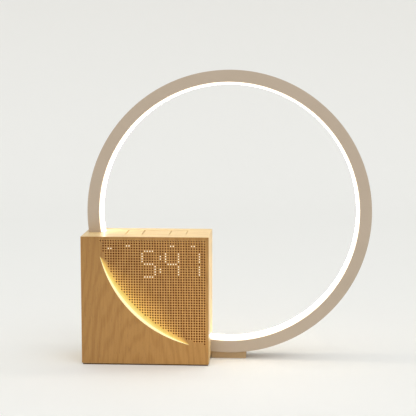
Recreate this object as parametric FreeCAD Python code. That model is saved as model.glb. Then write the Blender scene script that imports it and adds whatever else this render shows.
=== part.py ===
import FreeCAD, Part
import math
import os

# Alarm clock lamp: a square wood case with a perforated clock front and a sloped crescent
# light, and a large lit ring that enters the case's top and leaves its right side.
# Millimetres, +Z up, front towards -Y. The origin is on the table, under the middle of
# the whole outline.

os.makedirs("parts", exist_ok=True)
V = FreeCAD.Vector

# Case
case_w = 100.0
case_d = 50.0
case_h = 100.5
wall_t = 4.0
panel_t = 4.0
pad_t = 1.1
pad_inset = 0.8

# Ring: an aluminium C channel that opens towards the ring's centre
ring_outer_r = 112.6
ring_face_w = 9.4
ring_d = 20.0
ring_wall = 1.5
ring_from_case_left = 1.8
ring_above_table = 5.0
ring_sunk_top = 19.1
ring_sunk_side = 17.2
ring_cap_t = 1.5
diffuser_rise = 3.0
diffuser_shoulder = 5.0
diffuser_leg = 3.5
diffuser_play = 0.1
ring_tape_w = 10.0
ring_tape_t = 0.4
ring_bead_w = 4.0
ring_bead_h = 1.2

# Ring sockets, foot and slots
slot_play = 0.3
socket_play = 0.1
socket_wall = 2.5
socket_back = 1.7
socket_floor = 4.0
socket_from_cover = 0.2
lead_r = 2.0
grub_r = 1.5
grub_l = 4.0
grub_from_end = 6.0
foot_from_case = 0.4
foot_right = 14.0
foot_d = 16.0
foot_wrap = 1.4

# Crescent recess: its floor slopes down from a chord to an arc, whose centre lies left of the
# ring's and below it. The light's slot is widest in its middle and tapers to both ends
arc_left_of_ring = 8.0
arc_below_ring = 9.6
arc_inside_ring = 9.4
arc_middle_angle = 225.1
arc_half_angle = 31.7
recess_depth = 2.6
recess_floor_t = 3.0
recess_rim = 3.0
arc_slot_w = 1.75
arc_slot_half_angle = 28.5
arc_lens_t = 1.6
arc_bead_w = 1.0
arc_bead_t = 0.8
arc_tape_w = 5.0
arc_tape_t = 0.4
arc_play = 0.15
arc_end_angle = 0.1
arc_tape_end_angle = 0.5

# Perforation: a square grid that spans the front between two margins and stays inside a
# circle round the ring's centre
columns = 42
rows = 41
grille_from_left = 13.68
grille_from_right = 3.25
grille_from_top = 3.1
grille_inside_ring = 1.9
hole_r = 0.47
hole_sides = 4

# Clock digits, in columns and rows of the perforation
digit_columns = (9, 17, 26, 34)
digit_dots = 5
segment_dots = 4
pair_dots = 2
digit_rows = (4, 9, 14)
colon_column = 24
colon_rows = (6, 11)
lamp_places = ((4, 3), (11, 2), (28, 2), (36, 2))

# Display block behind the digits
window_margin = 0.75
mask_t = 4.0
mask_wall = 0.9
mask_margin = 3.0
board_t = 1.6
chip_l = 1.6
chip_w = 0.8
chip_t = 0.6
display_screw_r = 1.0
display_screw_grip = 1.5
display_screw_column = 7

# Speaker: square, with a flat rim round a dished diaphragm
speaker_w = 20.0
speaker_from_wall = 4.0
speaker_from_chord = 3.0
speaker_flange_t = 1.2
speaker_flange_w = 1.5
speaker_wall = 1.5
speaker_depth = 6.0
cone_t = 0.5
cone_rim = 1.5
cone_deep = 3.0
cone_cap_w = 5.0
magnet_r = 6.5
magnet_t = 4.0
gasket_t = 1.5
speaker_screw_r = 0.9
speaker_screw_grip = 2.5

# Keys
side_key_w = 12.7
centre_key_w = 21.0
key_l = 24.0
key_gap = 0.5
key_travel = 0.6
key_lip = 1.5
key_lip_t = 1.0
key_seat_play = 0.2
key_round = 0.4
stem_w = 3.6
stem_l = 3.0
stem_play = 0.15
switch_w = 6.0
switch_h = 3.5
plunger_w = 3.0
plunger_h = 1.0
key_board_w = 20.0
key_board_from_socket = 3.73
hanger_w = 4.0
hanger_l = 16.0
hanger_from_key = 0.75
key_screw_r = 1.0
key_screw_l = 6.0

# Main board and what it carries; a chip is (from the board's left, above its foot, width,
# height, thickness)
main_board_w = 56.0
main_board_h = 50.0
main_board_from_left = 30.0
main_board_above_floor = 25.0
post_r = 2.6
post_l = 6.0
main_post_inset = 3.5
main_screw_r = 1.0
main_screw_l = 4.5
chips = (
    (5.0, 28.0, 10.0, 10.0, 1.2),
    (18.0, 30.0, 6.0, 5.0, 1.4),
    (12.0, 14.0, 7.0, 7.0, 1.2),
    (22.0, 13.0, 6.0, 6.0, 3.0),
    (32.0, 10.0, 7.0, 4.5, 4.0),
    (41.0, 10.0, 7.0, 4.5, 4.0),
)
inlet_w = 8.94
inlet_h = 3.26
inlet_t = 0.35
inlet_sink = 0.2
inlet_deep = 6.5
inlet_tongue_w = 6.69
inlet_tongue_t = 0.7
inlet_tongue_sink = 1.0
inlet_from_left = 28.0
inlet_lift = 4.0
inlet_play = 0.25
cell_r = 10.0
cell_t = 3.2
cell_wall = 1.2
cell_clip_t = 1.0
cell_play = 0.2
cell_from_right = 3.0
cell_from_top = 8.5
ribbon_w = 10.0
ribbon_t = 0.3
ribbon_sag = 4.0
ribbon_from_left = 22.4
socket_w = 13.0
socket_h = 4.0
socket_t = 2.5

# Back cover
cover_t = 2.8
cover_sink = 0.3
cover_play = 0.2
cover_screw_r = 1.2
cover_screw_l = 10.0
cover_head_r = 2.4
cover_head_t = 1.2
cover_block = 8.0
cover_block_l = 12.0
cover_screw_inset = 4.0
cover_screw_from_ring = 3.9
vent_w = 1.6
vent_h = 16.0
vent_pitch = 4.0
vents = 9
vent_below_top = 16.0

# Screws and the holes for them, with few sides
screw_sides = 8
screw_play = 0.1
head_ratio = 1.8

# How far a cutting tool runs past a face, and the least size that counts
overrun = 1.0
tiny = 0.01

# Places that follow from the sizes above
case_x = -(ring_from_case_left + 2 * ring_outer_r - case_w) / 2
ring_x = case_x - case_w / 2 + ring_from_case_left + ring_outer_r
ring_z = ring_above_table + ring_outer_r
ring_inner_r = ring_outer_r - ring_face_w
crest_r = ring_inner_r - diffuser_rise
cover_back = case_d / 2 - cover_sink
cover_front = cover_back - cover_t
socket_rear = cover_front - socket_from_cover
ring_back_y = socket_rear - socket_back
ring_front_y = ring_back_y - ring_d
socket_front = ring_front_y - socket_wall
ring_mid_y = (ring_front_y + ring_back_y) / 2
ring_mid_r = (ring_outer_r + ring_inner_r) / 2
left = case_x - case_w / 2
right = case_x + case_w / 2
front = -case_d / 2
back = case_d / 2
bottom = pad_t
top = pad_t + case_h
in_left = left + wall_t
in_right = right - wall_t
in_bottom = bottom + wall_t
in_top = top - wall_t
panel_back = front + panel_t
mask_back = panel_back + mask_t
display_board_back = mask_back + board_t
pitch = (case_w - grille_from_left - grille_from_right) / (columns - 1)
first_x = left + grille_from_left
first_z = top - grille_from_top
flange_front = panel_back + gasket_t
key_reach = centre_key_w / 2 + key_gap + side_key_w
key_board_l = 2 * (key_reach + hanger_from_key + hanger_w)
top_screw_z = in_top - cover_screw_inset
ring_inside_x = ring_x - math.sqrt(crest_r**2 - (ring_z - top_screw_z) ** 2)
top_screw_x = ring_inside_x + cover_screw_from_ring
key_board_x0 = top_screw_x + cover_screw_inset + key_board_from_socket
key_row_x = key_board_x0 + key_board_l / 2
lip_top = in_top - key_seat_play
stem_end = lip_top - key_lip_t - stem_l
plunger_top = stem_end - key_travel - stem_play
key_board_top = plunger_top - plunger_h - switch_h
cover_screw_tip = cover_back - cover_head_t - cover_screw_l
main_board_back = cover_front - post_l
main_board_front = main_board_back - board_t
main_x0 = left + main_board_from_left
main_z0 = in_bottom + main_board_above_floor
inlet_x = left + main_board_from_left + inlet_from_left
inlet_z = main_z0 + inlet_lift
full_turn = 360.0
cap_angle = math.degrees(ring_cap_t / ring_mid_r)
ring_end_top = full_turn / 2 + math.degrees(math.asin((ring_z - top + ring_sunk_top) / ring_mid_r))
ring_end_low = full_turn - math.degrees(math.acos((right - ring_sunk_side - ring_x) / ring_mid_r))
ring_a0 = ring_end_low - full_turn
ring_a1 = ring_end_top
ring_clear_top = ring_end_top - 2 * (ring_end_top - full_turn / 2)
ring_clear_side = 2 * (full_turn * 3 / 4) - ring_end_low
arc_x = ring_x - arc_left_of_ring
arc_z = ring_z - arc_below_ring
arc_r = ring_inner_r - arc_inside_ring
chord_r = arc_r * math.cos(math.radians(arc_half_angle))
chord_half = arc_r * math.sin(math.radians(arc_half_angle))
slope = recess_depth / (arc_r - chord_r)
slot_sag = arc_r - chord_r - arc_slot_w
slot_inner_r = (chord_half**2 + slot_sag**2) / (2 * slot_sag)
slot_shift = slot_inner_r - (arc_r - arc_slot_w)
chord_out_x = math.cos(math.radians(arc_middle_angle))
chord_out_z = math.sin(math.radians(arc_middle_angle))
speaker_x = in_right - speaker_from_wall - speaker_w / 2
speaker_corner = speaker_w / 2 * (abs(chord_out_x) + abs(chord_out_z))
speaker_out = chord_r - speaker_from_chord - speaker_corner
speaker_z = arc_z + (speaker_out - (speaker_x - arc_x) * chord_out_x) / chord_out_z
speaker_mouth = speaker_w / 2 - speaker_flange_w - speaker_wall


def block(x0, x1, y0, y1, z0, z1):
    """A box between two corners."""
    return Part.makeBox(x1 - x0, y1 - y0, z1 - z0, V(x0, y0, z0))


def tapered_block(near, y0, far, y1):
    """A block along Y between two upright rectangles, each (x0, x1, z0, z1)."""
    x0, x1, z0, z1 = near
    far_x0, far_x1, far_z0, far_z1 = far
    return Part.makeWedge(x0, y0, z0, far_z0, far_x0, x1, y1, z1, far_z1, far_x1)


def rod_y(r, x, z, y0, y1):
    """A cylinder along Y."""
    return Part.makeCylinder(r, y1 - y0, V(x, y0, z), V(0, 1, 0))


def screw_rod(r, start, end):
    """A rod with few sides along Y or Z, for a screw or the hole for one."""
    run = end - start
    across = run.cross(V(1, 0, 0))
    across.normalize()
    corners = []
    for i in range(screw_sides):
        a = math.radians(full_turn * i / screw_sides)
        corners.append(start + V(r * math.cos(a), 0, 0) + across * (r * math.sin(a)))
    return Part.Face(Part.makePolygon(corners + corners[:1])).extrude(run)


def screw(r, head_r, head_l, tip, seat):
    """A shank from tip to seat, with a head past the seat."""
    out = seat - tip
    out.normalize()
    head = screw_rod(head_r, seat, seat + out * head_l)
    return clean(head.fuse(screw_rod(r, tip, seat)))


def save(name, *solids):
    """Write one sub-part, as one solid or a group of separate solids."""
    shape = solids[0] if len(solids) == 1 else Part.makeCompound(list(solids))
    shape.exportStep("parts/" + name + ".step")


def clean(shape):
    """One solid with the seams between flush faces taken out."""
    return shape.removeSplitter().Solids[0]


# The ring's own coordinates: radius and angle round its centre, and depth y


def at(r, y, degrees):
    a = math.radians(degrees)
    return V(ring_x + r * math.cos(a), y, ring_z + r * math.sin(a))


def sweep_ring(wire, a0, a1):
    """Turn a section, drawn at angle a0, round the ring's axis to angle a1."""
    face = Part.Face(wire)
    return face.revolve(V(ring_x, 0, ring_z), V(0, -1, 0), a1 - a0)


def ring_band(r0, r1, y0, y1, a0, a1):
    """A rectangular section turned round the ring's axis."""
    corners = [at(r0, y0, a0), at(r1, y0, a0), at(r1, y1, a0), at(r0, y1, a0)]
    return sweep_ring(Part.makePolygon(corners + corners[:1]), a0, a1)


def ring_outline(play, a0, a1):
    """The ring's whole section, channel and diffuser, grown by a play all round."""
    y0 = ring_front_y - play
    y1 = ring_back_y + play
    r0 = ring_outer_r + play
    r1 = ring_inner_r - play
    r2 = crest_r - play
    corners = [
        at(r0, y0, a0),
        at(r0, y1, a0),
        at(r1, y1, a0),
        at(r1, y1 - ring_wall, a0),
        at(r2, y1 - ring_wall - diffuser_shoulder, a0),
        at(r2, y0 + ring_wall + diffuser_shoulder, a0),
        at(r1, y0 + ring_wall, a0),
        at(r1, y0, a0),
    ]
    return sweep_ring(Part.makePolygon(corners + corners[:1]), a0, a1)


def make_ring_channel():
    """An extruded C section, rolled to a ring."""
    a = ring_a0
    y0 = ring_front_y
    y1 = ring_back_y
    r_in = ring_outer_r - ring_wall
    corners = [
        at(ring_inner_r, y0, a),
        at(ring_outer_r, y0, a),
        at(ring_outer_r, y1, a),
        at(ring_inner_r, y1, a),
        at(ring_inner_r, y1 - ring_wall, a),
        at(r_in, y1 - ring_wall, a),
        at(r_in, y0 + ring_wall, a),
        at(ring_inner_r, y0 + ring_wall, a),
    ]
    return sweep_ring(Part.makePolygon(corners + corners[:1]), a, ring_a1)


def make_ring_diffuser():
    """A solid opal strip, held between the channel's flanges and raised in the middle."""
    a = ring_a0
    y0 = ring_front_y + ring_wall + diffuser_play
    y1 = ring_back_y - ring_wall - diffuser_play
    leg = ring_inner_r + diffuser_leg
    corners = [
        at(leg, y0, a),
        at(leg, y1, a),
        at(ring_inner_r, y1, a),
        at(crest_r, y1 - diffuser_shoulder, a),
        at(crest_r, y0 + diffuser_shoulder, a),
        at(ring_inner_r, y0, a),
    ]
    return sweep_ring(Part.makePolygon(corners + corners[:1]), a, ring_a1)


def make_ring_lights():
    """The flexible tape on the channel's web, and the phosphor bead along it."""
    web = ring_outer_r - ring_wall
    half = ring_tape_w / 2
    tape = ring_band(web - ring_tape_t, web, ring_mid_y - half, ring_mid_y + half, ring_a0, ring_a1)
    under = web - ring_tape_t
    half = ring_bead_w / 2
    bead = ring_band(under - ring_bead_h, under, ring_mid_y - half, ring_mid_y + half, ring_a0, ring_a1)
    return tape, bead


def make_ring_caps():
    """Plates that close the channel's two ends, each with a hole for the leads."""
    caps = []
    for a0, a1 in ((ring_a1, ring_a1 + cap_angle), (ring_a0 - cap_angle, ring_a0)):
        plate = ring_band(ring_inner_r, ring_outer_r, ring_front_y, ring_back_y, a0, a1)
        middle = at(ring_mid_r, ring_mid_y, (a0 + a1) / 2)
        along = at(ring_mid_r, ring_mid_y, a1) - at(ring_mid_r, ring_mid_y, a0)
        along.normalize()
        start = middle - along * (ring_cap_t + overrun)
        hole = Part.makeCylinder(lead_r, 2 * (ring_cap_t + overrun), start, along)
        caps.append(plate.cut(hole))
    return caps


# The recess's own coordinates: s from the chord towards the arc, t along the chord

s_far = (arc_r + 2 * recess_rim) - chord_r
s_near = -arc_tape_w
past_panel = 3 * panel_t
deep = front + past_panel


def on_slope(s, t, y):
    out = V(chord_out_x, 0, chord_out_z)
    side = V(-chord_out_z, 0, chord_out_x)
    return V(arc_x, y, arc_z) + out * (chord_r + s) + side * t


def slope_slab(s0, s1, a0, a1):
    """The space between two planes parallel to the recess's floor, a0 and a1 behind it."""
    t = arc_r
    corners = [
        on_slope(s0, -t, front + slope * s0 + a0),
        on_slope(s1, -t, front + slope * s1 + a0),
        on_slope(s1, -t, front + slope * s1 + a1),
        on_slope(s0, -t, front + slope * s0 + a1),
    ]
    face = Part.Face(Part.makePolygon(corners + corners[:1]))
    return face.extrude(on_slope(0, t, 0) - on_slope(0, -t, 0))


def arc_band(r0, r1, half):
    """A band along the recess's arc, right through the front."""
    band = ring_band(r0, r1, front - overrun, deep, arc_middle_angle - half, arc_middle_angle + half)
    band.translate(V(arc_x - ring_x, 0, arc_z - ring_z))
    return band


def tapered_band(play, half):
    """The light's slot less a play: between the recess's arc and a flatter arc through its ends."""
    x = arc_x - slot_shift * chord_out_x
    z = arc_z - slot_shift * chord_out_z
    band = arc_band(arc_r - 2 * arc_slot_w, arc_r - play, half)
    return band.cut(rod_y(slot_inner_r + play, x, z, front - 2 * overrun, deep + overrun))


def recess_cut():
    """The wedge that the cutter takes out between the chord and the arc."""
    t = arc_r
    corners = [
        on_slope(0, -t, front - overrun),
        on_slope(s_far, -t, front - overrun),
        on_slope(s_far, -t, front + slope * s_far),
        on_slope(0, -t, front),
    ]
    face = Part.Face(Part.makePolygon(corners + corners[:1]))
    wedge = face.extrude(on_slope(0, t, 0) - on_slope(0, -t, 0))
    return wedge.common(rod_y(arc_r, arc_x, arc_z, front - 2 * overrun, deep))


def recess_boss():
    """The thicker wood behind the sloped floor."""
    t = arc_r
    y = front + panel_t / 2
    corners = [
        on_slope(0, -t, y),
        on_slope(s_far, -t, y),
        on_slope(s_far, -t, front + slope * s_far + recess_floor_t),
        on_slope(0, -t, front + recess_floor_t),
    ]
    face = Part.Face(Part.makePolygon(corners + corners[:1]))
    wedge = face.extrude(on_slope(0, t, 0) - on_slope(0, -t, 0))
    return wedge.common(rod_y(arc_r + recess_rim, arc_x, arc_z, front, deep))


# The perforation's own coordinates: columns from the left, rows from the top


def dot_x(column):
    return first_x + column * pitch


def dot_z(row):
    return first_z - row * pitch


def digit_segments(column):
    """Runs of dots that make one digit: (first column, first row, across)."""
    runs = [(column + 1, row, True) for row in digit_rows]
    for row in digit_rows[:-1]:
        runs.append((column, row + 1, False))
        runs.append((column + digit_dots, row + 1, False))
    return runs


def display_runs():
    """Every run of dots that one light chip lights: (column, row, across, dots)."""
    runs = []
    for column in digit_columns:
        runs += [(c, r, across, segment_dots) for c, r, across in digit_segments(column)]
    runs += [(colon_column, row, False, pair_dots) for row in colon_rows]
    runs += [(column, row, True, pair_dots) for column, row in lamp_places]
    return runs


def run_dots(run):
    column, row, across, count = run
    return [(column + i, row) if across else (column, row + i) for i in range(count)]


def run_box(run, margin, y0, y1):
    dots = run_dots(run)
    x0 = dot_x(dots[0][0]) - margin
    x1 = dot_x(dots[-1][0]) + margin
    z0 = dot_z(dots[-1][1]) - margin
    z1 = dot_z(dots[0][1]) + margin
    return block(x0, x1, y0, y1, z0, z1)


def speaker_dots():
    dots = []
    for column in range(columns):
        for row in range(rows):
            x = dot_x(column)
            z = dot_z(row)
            near = max(abs(x - speaker_x), abs(z - speaker_z)) < speaker_mouth - hole_r
            inside = math.hypot(x - ring_x, z - ring_z) < ring_inner_r - grille_inside_ring
            if near and inside:
                dots.append((column, row))
    return dots


def drill(column, row):
    """One hole right through the front."""
    corners = []
    for i in range(hole_sides):
        a = math.radians(full_turn * i / hole_sides)
        x = dot_x(column) + hole_r * math.cos(a)
        z = dot_z(row) + hole_r * math.sin(a)
        corners.append(V(x, front - overrun, z))
    face = Part.Face(Part.makePolygon(corners + corners[:1]))
    return face.extrude(V(0, past_panel + overrun, 0))


def display_plate(y0, y1):
    """The outline of the mask and its board: a strip along the top steps left past the digits."""
    x0 = dot_x(lamp_places[0][0]) - window_margin - mask_wall
    x1 = dot_x(digit_columns[0]) - window_margin - mask_wall
    x2 = dot_x(digit_columns[-1] + digit_dots) + mask_margin
    z0 = dot_z(digit_rows[-1]) - window_margin - mask_wall
    z1 = dot_z(lamp_places[0][1]) - window_margin - mask_wall
    z2 = dot_z(lamp_places[1][1]) + window_margin + mask_wall
    plate = block(x1, x2, y0, y1, z0, z2)
    return clean(plate.fuse(block(x0, x1, y0, y1, z1, z2)))


def display_screw_places():
    """One beside the left lamps, one right of the digits between two segments."""
    last = digit_columns[-1] + digit_dots
    return [
        (dot_x(display_screw_column), dot_z(lamp_places[0][1])),
        (dot_x(last) + mask_margin / 2, dot_z(digit_rows[1])),
    ]


def speaker_screw_places():
    """Just outside the flange, left and right of it, so that the heads hold it."""
    reach = speaker_w / 2 + speaker_screw_r + screw_play
    return [(speaker_x - reach, speaker_z), (speaker_x + reach, speaker_z)]


def screw_holes(places, r, y0, y1):
    return [screw_rod(r + screw_play, V(x, y0, z), V(x, y1, z)) for x, z in places]


def screws(places, r, tip, seat):
    """Screws along Y whose heads lie past the seat."""
    head_r = head_ratio * r
    return [screw(r, head_r, r, V(x, tip, z), V(x, seat, z)) for x, z in places]


# Case and front


def front_board():
    """A board the size of the front, mitred to the case's walls on all four edges."""
    face = (left, right, bottom, top)
    return tapered_block(face, front, (in_left, in_right, in_bottom, in_top), panel_back)


def make_front_panel(holes):
    panel = clean(front_board().fuse(recess_boss()))
    tape_half = arc_tape_w / 2 + arc_play
    tape_r = arc_r - arc_slot_w / 2
    mouth = tapered_band(0, arc_slot_half_angle)
    slot_half = arc_slot_half_angle + arc_end_angle
    slot = arc_band(arc_r - arc_slot_w - arc_play, arc_r + arc_play, slot_half)
    seat = arc_band(tape_r - tape_half, tape_r + tape_half, arc_slot_half_angle + arc_tape_end_angle)
    panel = panel.cut(recess_cut())
    panel = panel.cut(mouth.common(slope_slab(s_near, s_far, -overrun, past_panel)))
    panel = panel.cut(slot.common(slope_slab(s_near, s_far, arc_lens_t, past_panel)))
    panel = panel.cut(seat.common(slope_slab(s_near, s_far, recess_floor_t, past_panel)))
    grip = panel_back - display_screw_grip - screw_play
    tools = screw_holes(display_screw_places(), display_screw_r, grip, panel_back + overrun)
    grip = panel_back - speaker_screw_grip - screw_play
    tools += screw_holes(speaker_screw_places(), speaker_screw_r, grip, panel_back + overrun)
    tools += holes
    return panel.cut(Part.makeCompound(tools)).Solids[0]


def key_spans():
    """The three keys' left and right edges."""
    c = centre_key_w / 2
    return {
        "key_left": (key_row_x - key_reach, key_row_x - c - key_gap),
        "key_centre": (key_row_x - c, key_row_x + c),
        "key_right": (key_row_x + c + key_gap, key_row_x + key_reach),
    }


def make_case_shell():
    shell = block(left, right, front, back, bottom, top)
    shell = shell.cut(block(in_left, in_right, front, back, in_bottom, in_top))
    shell = shell.cut(front_board())
    shell = shell.cut(ring_outline(slot_play, ring_clear_top, ring_end_top))
    shell = shell.cut(ring_outline(slot_play, ring_end_low, ring_clear_side))
    x0 = key_row_x - key_reach - key_gap
    x1 = key_row_x + key_reach + key_gap
    half = key_l / 2 + key_gap
    shell = shell.cut(block(x0, x1, -half, half, in_top - overrun, top + overrun))
    return shell.Solids[0]


def make_key(x0, x1):
    """A wood cap with a lip under the case's top and a stem over its switch."""
    half = key_l / 2
    cap = block(x0, x1, -half, half, lip_top - key_lip_t, top)
    rim = [e for e in cap.Edges if e.BoundBox.ZMin > top - tiny]
    cap = cap.makeChamfer(key_round, rim)
    lip = block(x0, x1, -half - key_lip, half + key_lip, lip_top - key_lip_t, lip_top)
    middle = (x0 + x1) / 2
    w = stem_w / 2
    stem = block(middle - w, middle + w, -w, w, stem_end, lip_top)
    return clean(cap.fuse([lip, stem]))


def key_middles():
    return [(x0 + x1) / 2 for x0, x1 in key_spans().values()]


def hanger_places():
    reach = key_board_l / 2 - hanger_w / 2
    return [key_row_x - reach, key_row_x + reach]


def make_key_board():
    z0 = key_board_top - board_t
    half = key_board_w / 2
    board = block(key_board_x0, key_board_x0 + key_board_l, -half, half, z0, key_board_top)
    for x in hanger_places():
        start = V(x, 0, z0 - overrun)
        board = board.cut(screw_rod(key_screw_r + screw_play, start, V(x, 0, key_board_top + overrun)))
    return board


def make_key_switches():
    half = switch_w / 2
    w = plunger_w / 2
    made = []
    for x in key_middles():
        body = block(x - half, x + half, -half, half, key_board_top, key_board_top + switch_h)
        made.append(clean(body.fuse(block(x - w, x + w, -w, w, key_board_top, plunger_top))))
    return made


def make_key_hangers():
    made = []
    half = hanger_l / 2
    for x in hanger_places():
        bar = block(x - hanger_w / 2, x + hanger_w / 2, -half, half, key_board_top, in_top)
        start = V(x, 0, key_board_top - overrun)
        hole = screw_rod(key_screw_r + screw_play, start, V(x, 0, key_board_top + key_screw_l))
        made.append(bar.cut(hole))
    return made


def make_key_screws():
    seat = key_board_top - board_t
    made = []
    for x in hanger_places():
        tip = V(x, 0, seat + key_screw_l)
        made.append(screw(key_screw_r, head_ratio * key_screw_r, key_screw_r, tip, V(x, 0, seat)))
    return made


# Display


def make_display_mask(runs):
    mask = display_plate(panel_back, mask_back)
    y0 = panel_back - overrun
    y1 = mask_back + overrun
    tools = [run_box(run, window_margin, y0, y1) for run in runs]
    tools += screw_holes(display_screw_places(), display_screw_r, y0, y1)
    return mask.cut(Part.makeCompound(tools))


def make_display_board():
    board = display_plate(mask_back, display_board_back)
    y1 = display_board_back + overrun
    holes = screw_holes(display_screw_places(), display_screw_r, mask_back - overrun, y1)
    return board.cut(Part.makeCompound(holes))


def make_display_chips(runs):
    made = []
    for run in runs:
        dots = run_dots(run)
        x = (dot_x(dots[0][0]) + dot_x(dots[-1][0])) / 2
        z = (dot_z(dots[0][1]) + dot_z(dots[-1][1])) / 2
        dx, dz = (chip_l / 2, chip_w / 2) if run[2] else (chip_w / 2, chip_l / 2)
        made.append(block(x - dx, x + dx, mask_back - chip_t, mask_back, z - dz, z + dz))
    return made


def make_display_screws():
    tip = panel_back - display_screw_grip
    return screws(display_screw_places(), display_screw_r, tip, display_board_back)


# Light along the crescent's arc


def arc_piece(r0, r1, half, a0, a1):
    return arc_band(r0, r1, half).common(slope_slab(s_near, s_far, a0, a1)).Solids[0]


def make_arc_lights():
    """A lens flush with the sloped floor, a phosphor bead and its tape behind it."""
    c = arc_play / 2
    middle = arc_r - arc_slot_w / 2
    span = arc_slot_half_angle - arc_end_angle
    lens = tapered_band(c, span).common(slope_slab(s_near, s_far, 0, arc_lens_t)).Solids[0]
    y = recess_floor_t
    half = arc_bead_w / 2
    bead = arc_piece(middle - half, middle + half, span, y - arc_bead_t, y)
    half = arc_tape_w / 2
    tape = arc_piece(middle - half, middle + half, span, y, y + arc_tape_t)
    return lens, bead, tape


# Speaker


def speaker_square(half):
    return speaker_x - half, speaker_x + half, speaker_z - half, speaker_z + half


def speaker_block(half, y0, y1):
    """A square block on the speaker's axis."""
    x0, x1, z0, z1 = speaker_square(half)
    return block(x0, x1, y0, y1, z0, z1)


def make_gasket():
    ring = speaker_block(speaker_w / 2, panel_back, flange_front)
    return ring.cut(speaker_block(speaker_mouth, panel_back - overrun, flange_front + overrun))


def make_basket():
    """A tub with a flange round its mouth."""
    y0 = flange_front
    y1 = y0 + speaker_depth
    flange = speaker_block(speaker_w / 2, y0, y0 + speaker_flange_t)
    tub = speaker_block(speaker_w / 2 - speaker_flange_w, y0, y1)
    return clean(flange.fuse(tub)).cut(speaker_block(speaker_mouth, y0 - overrun, y1 - speaker_wall))


def make_cone():
    """A flat rim round a dish of one thickness."""
    y = flange_front
    mouth = speaker_square(speaker_mouth - cone_rim)
    dish = tapered_block(mouth, y, speaker_square(cone_cap_w / 2), y + cone_deep)
    rim = speaker_block(speaker_mouth, y, y + cone_t)
    return clean(rim.fuse(dish).cut(dish.translated(V(0, -cone_t, 0))))


def make_magnet():
    y = flange_front + speaker_depth
    return rod_y(magnet_r, speaker_x, speaker_z, y, y + magnet_t)


def make_speaker_screws():
    tip = panel_back - speaker_screw_grip
    return screws(speaker_screw_places(), speaker_screw_r, tip, flange_front + speaker_flange_t)


# Ring sockets and foot


def ring_inside_z(x):
    """Where the lower side of the ring's inner face is at x."""
    return ring_z - math.sqrt(crest_r**2 - (ring_x - x) ** 2)


def cover_screw_places():
    """Two screws reach the ring's sockets, two reach blocks in the other corners."""
    inset = cover_screw_inset
    right_x = in_right - inset
    return {
        "top_left": (top_screw_x, top_screw_z),
        "top_right": (right_x, top_screw_z),
        "low_left": (in_left + inset, in_bottom + inset),
        "low_right": (right_x, ring_inside_z(right_x) + cover_screw_from_ring),
    }


def socket_block_top(screw_place):
    low = at(ring_outer_r, 0, ring_end_top + cap_angle).z - socket_floor
    return in_left, screw_place[0] + cover_screw_inset, low, in_top


def socket_block_low(screw_place):
    far = at(ring_outer_r, 0, ring_end_low - cap_angle).x - socket_floor
    return far, in_right, in_bottom, screw_place[1] + cover_screw_inset


def grub_places():
    spots = []
    for a in (ring_end_top - grub_from_end, ring_end_low + grub_from_end):
        p = at(ring_mid_r, 0, a)
        spots.append((p.x, p.z))
    return spots


def make_socket(corners, mouth, end, screw_place):
    """A block round one end of the ring, with holes for the leads and for two screws."""
    x0, x1, z0, z1 = corners
    body = block(x0, x1, socket_front, socket_rear, z0, z1)
    past_end = end + math.copysign(cap_angle, end - mouth)
    body = body.cut(ring_outline(socket_play, min(mouth, past_end), max(mouth, past_end)))
    start = at(ring_mid_r, ring_mid_y, end)
    along = at(ring_mid_r, ring_mid_y, past_end) - start
    body = body.cut(Part.makeCylinder(lead_r, ring_outer_r, start, along))
    holes = screw_holes(grub_places(), grub_r, socket_front - overrun, ring_front_y)
    holes += screw_holes([screw_place], cover_screw_r, cover_screw_tip, back)
    body = body.cut(Part.makeCompound(holes))
    return max(body.Solids, key=lambda s: s.Volume)


def make_grubs():
    y = ring_front_y
    return [screw_rod(grub_r, V(x, y - grub_l, z), V(x, y, z)) for x, z in grub_places()]


def make_ring_foot():
    """A saddle under the ring's lowest part, hollowed to the channel's outside."""
    y0 = ring_mid_y - foot_d / 2
    y1 = y0 + foot_d
    x0 = right + foot_from_case
    body = block(x0, ring_x + foot_right, y0, y1, 0, ring_above_table + foot_wrap)
    return body.cut(rod_y(ring_outer_r, ring_x, ring_z, y0 - overrun, y1 + overrun))


# Back


def make_cover_blocks():
    places = cover_screw_places()
    made = []
    y1 = cover_front
    y0 = y1 - cover_block_l
    corners = {
        "top_right": (in_right - cover_block, in_top - cover_block),
        "low_left": (in_left, in_bottom),
    }
    for name, (x0, z0) in corners.items():
        body = block(x0, x0 + cover_block, y0, y1, z0, z0 + cover_block)
        holes = screw_holes([places[name]], cover_screw_r, cover_screw_tip, y1 + overrun)
        made.append(body.cut(holes[0]))
    return made


def post_places():
    x0 = main_x0 + main_post_inset
    x1 = main_x0 + main_board_w - main_post_inset
    z0 = main_z0 + main_post_inset
    z1 = main_z0 + main_board_h - main_post_inset
    return [(x0, z0), (x1, z0), (x0, z1), (x1, z1)]


def inlet_shape(grow, y0, y1):
    """The rounded outline of a small round-ended socket, run along Y."""
    h = inlet_h / 2 + grow
    side = inlet_w / 2 + grow - h
    bar = block(inlet_x - side, inlet_x + side, y0, y1, inlet_z - h, inlet_z + h)
    ends = [rod_y(h, inlet_x + s, inlet_z, y0, y1) for s in (-side, side)]
    return clean(bar.fuse(ends))


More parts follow.
